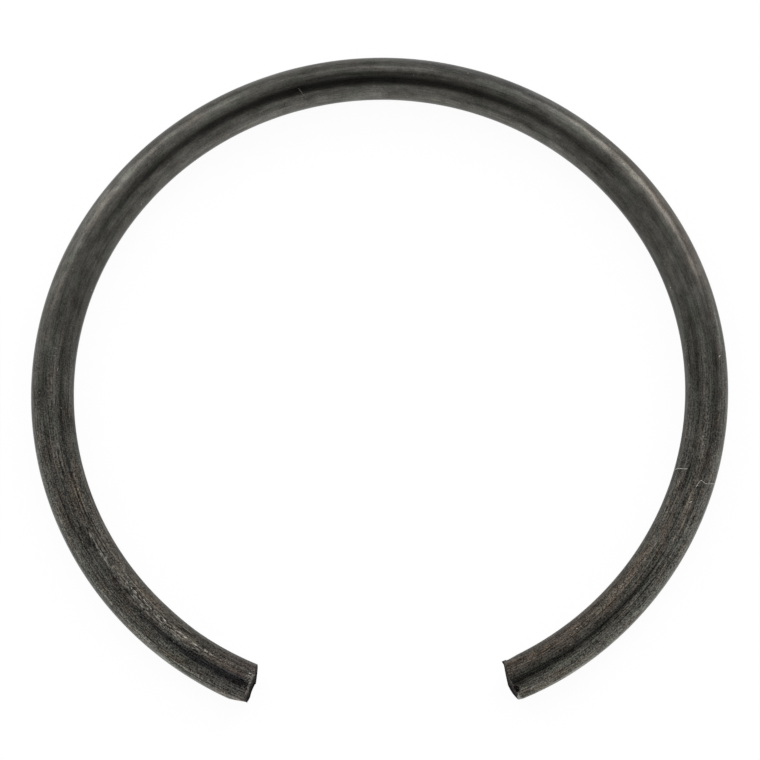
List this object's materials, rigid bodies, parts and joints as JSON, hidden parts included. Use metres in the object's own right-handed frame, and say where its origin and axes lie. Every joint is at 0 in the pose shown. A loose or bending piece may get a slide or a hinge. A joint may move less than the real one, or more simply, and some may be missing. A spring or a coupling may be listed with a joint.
{
  "type": "circlip retaining ring",
  "caption": "Plain round-wire circlip: an open ring of dark phosphated spring-steel wire with cropped ends, for a round groove in a bore.",
  "frame": {"origin": "centre of the ring, halfway up the wire, where the centre of the bore groove comes when the ring is seated", "axes": "+Z along the ring's axis, square to its plane; the opening between the ends faces -Y; +X across the ring"},
  "size_m": [0.0322, 0.0309, 0.002],
  "materials": {
    "phosphated_spring_steel": "black-brown phosphate and oil over drawn wire, satin"
  },
  "bodies": {
    "root": {"snap_ring": "phosphated_spring_steel"}
  },
  "joints": []
}
